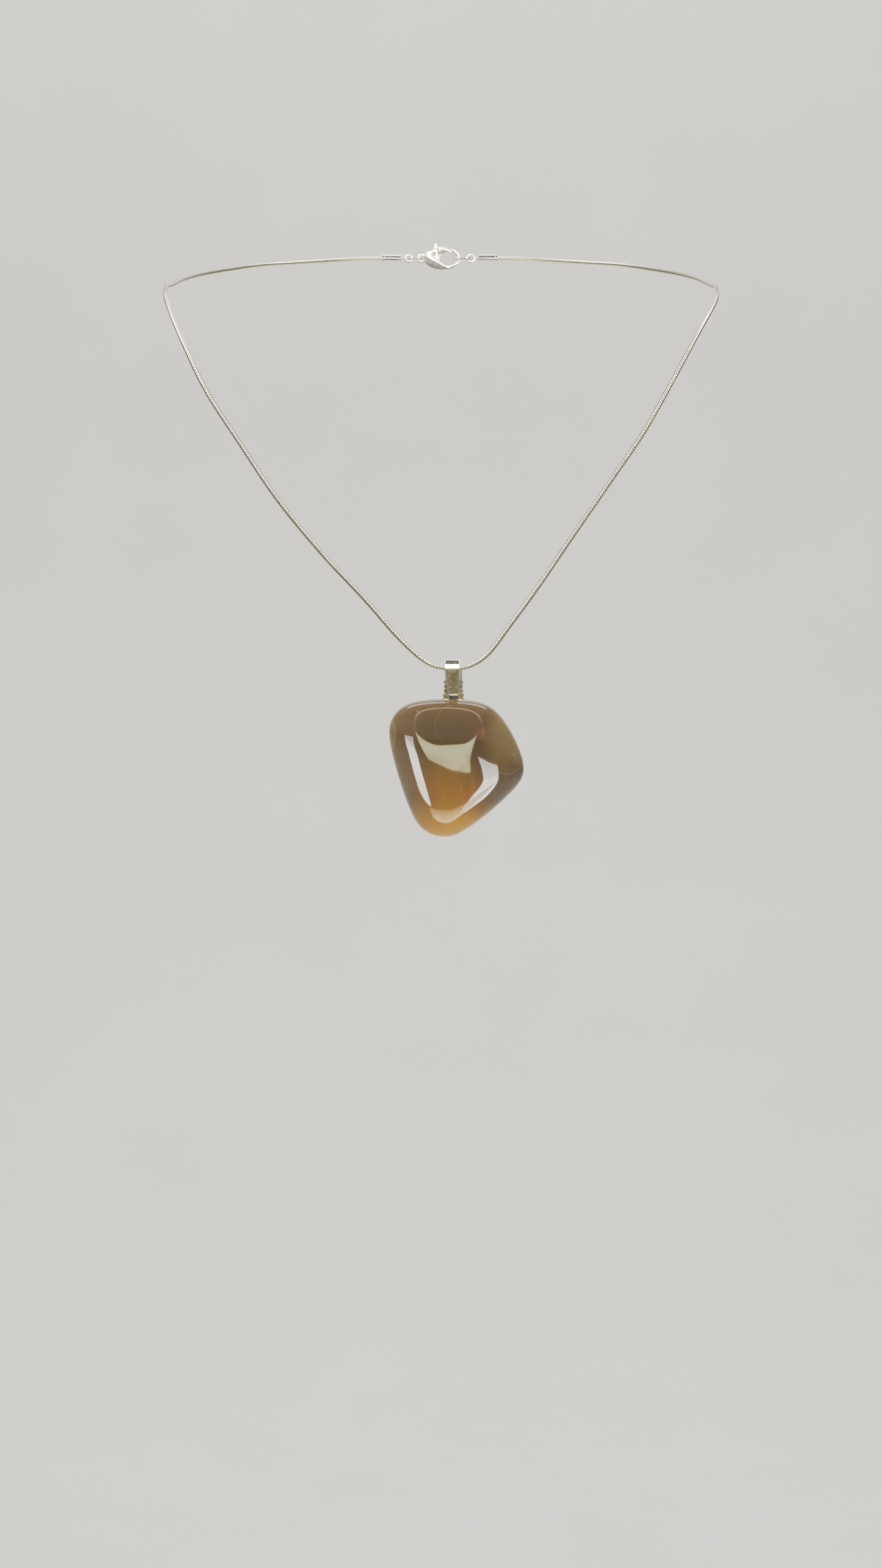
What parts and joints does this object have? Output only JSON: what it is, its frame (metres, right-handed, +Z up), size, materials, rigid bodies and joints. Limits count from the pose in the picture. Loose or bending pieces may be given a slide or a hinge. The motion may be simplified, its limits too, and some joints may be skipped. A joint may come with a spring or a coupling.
{
  "type": "pendant necklace",
  "caption": "Necklace: a free-form polished amber agate glued to a folded silver bail that swings on a round snake chain, closed behind the neck by a trigger clasp.",
  "frame": {"origin": "centre of the neck opening, level with the two points where the chain lies over the shoulders", "axes": "+Z up as worn, -Y towards the wearer's front (the pendant), +X towards the wearer's left"},
  "size_m": [0.1312, 0.1232, 0.1314],
  "materials": {
    "silver": "polished",
    "agate": "polished",
    "glue": "clear",
    "spring_steel": "drawn"
  },
  "bodies": {
    "neck_loop": {"chain_back_left": "silver", "chain_back_right": "silver", "end_cap_left": "silver", "end_cap_right": "silver"},
    "front_chain": {"chain_front": "silver"},
    "pendant": {"stone": "agate", "adhesive": "glue", "bail": "silver"},
    "jump_ring": {"jump_ring": "silver"},
    "clasp": {"clasp_body": "silver", "clasp_pin": "silver", "clasp_spring": "spring_steel"},
    "clasp_lever": {"clasp_lever": "silver"},
    "catch_ring": {"catch_ring": "silver"}
  },
  "joints": [
    {"name": "front_swing", "type": "hinge", "parent": "neck_loop", "child": "front_chain", "pos_m": [0, 0, 0], "axis": [-1, 0, 0], "range_deg": [0, 60]},
    {"name": "pendant_swing", "type": "hinge", "parent": "front_chain", "child": "pendant", "pos_m": [0.0025, -0.05, -0.0825], "axis": [-1, 0, 0], "range_deg": [-90, 90]},
    {"name": "ring_roll", "type": "hinge", "parent": "neck_loop", "child": "jump_ring", "pos_m": [-0.0067, 0.066, 0.006], "axis": [1, 0, 0], "range_deg": [-15, 15]},
    {"name": "clasp_roll", "type": "hinge", "parent": "jump_ring", "child": "clasp", "pos_m": [-0.005, 0.066, 0.006], "axis": [1, 0, 0], "range_deg": [-15, 15]},
    {"name": "lever_press", "type": "hinge", "parent": "clasp", "child": "clasp_lever", "pos_m": [-0.0021, 0.066, 0.0069], "axis": [0, 1, 0], "range_deg": [0, 25], "stiffness_Nm_per_rad": 0.002, "springref_deg": -17.19},
    {"name": "catch_roll", "type": "hinge", "parent": "neck_loop", "child": "catch_ring", "pos_m": [0.0077, 0.066, 0.006], "axis": [1, 0, 0], "range_deg": [-15, 15]}
  ]
}
